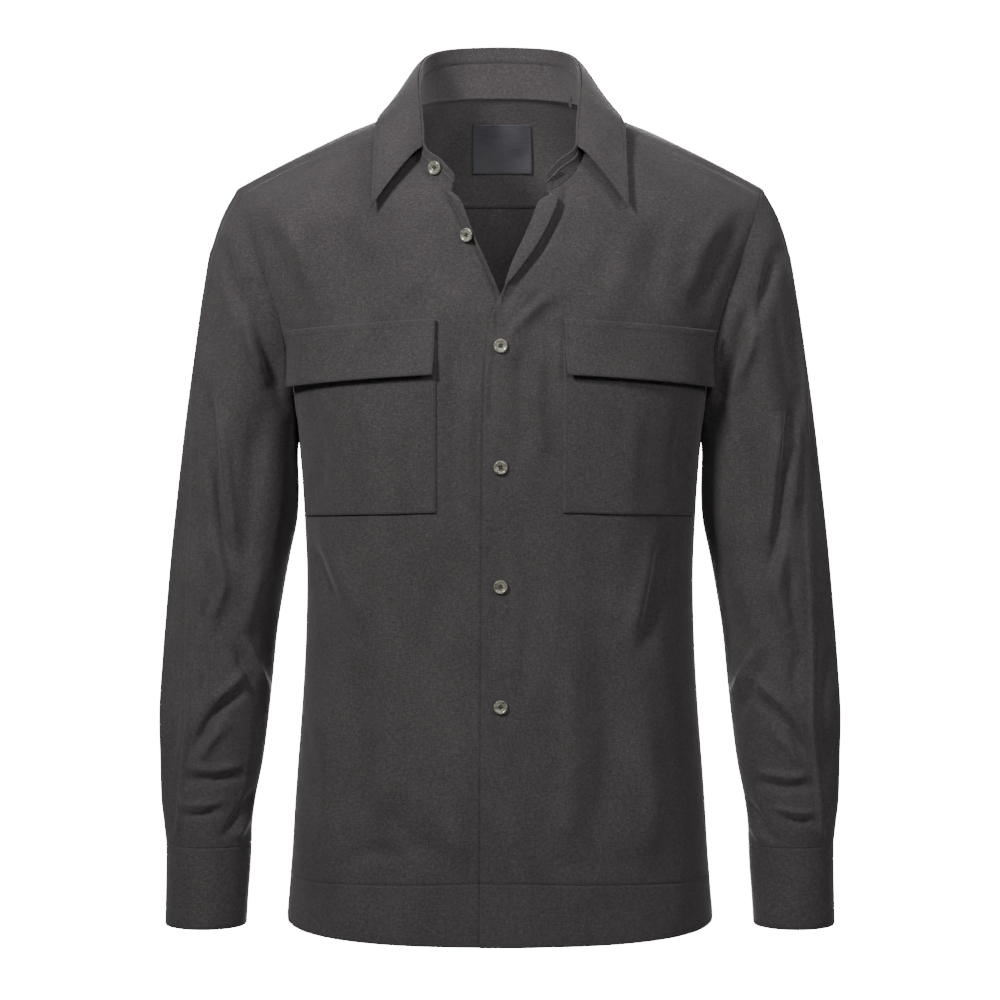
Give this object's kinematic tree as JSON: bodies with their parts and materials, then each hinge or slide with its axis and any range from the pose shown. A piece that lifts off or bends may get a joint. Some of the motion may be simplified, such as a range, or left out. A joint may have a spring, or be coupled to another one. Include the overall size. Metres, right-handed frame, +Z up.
{
  "type": "overshirt",
  "caption": "Long-sleeved woollen overshirt in its worn, hollow form: shirt collar, open neck, button front, flap chest pockets, straight hem band and buttoned cuffs",
  "frame": {"origin": "midway between the two high shoulder points beside the neck, where the wearer's shoulders hold the garment up", "axes": "+X towards the wearer's left, +Y towards the back, +Z up; the front faces -Y"},
  "size_m": [0.5964, 0.2626, 0.7779],
  "materials": {
    "flannel": "matte brushed wool flannel, charcoal with a brown cast, mixed light and dark yarns",
    "button": "polished shell button, olive grey, four holes",
    "label": "dark grey satin, blank"
  },
  "bodies": {
    "root": {"front_left": "flannel", "front_right": "flannel", "back": "flannel", "yoke": "flannel", "sleeve_left": "flannel", "sleeve_right": "flannel", "sleeve_placket_left": "flannel", "sleeve_placket_right": "flannel", "cuff_left": "flannel", "cuff_right": "flannel", "pocket_left": "flannel", "pocket_right": "flannel", "pocket_flap_left": "flannel", "pocket_flap_right": "flannel", "hem_band_left": "flannel", "hem_band_right": "flannel", "hem_band_back": "flannel", "collar_stand": "flannel", "collar_leaf": "flannel", "button_stand": "button", "button_open": "button", "button_front_1": "button", "button_front_2": "button", "button_front_3": "button", "button_front_4": "button", "button_cuff_left": "button", "button_cuff_right": "button", "neck_label": "label", "neck_tab": "label"}
  },
  "joints": []
}
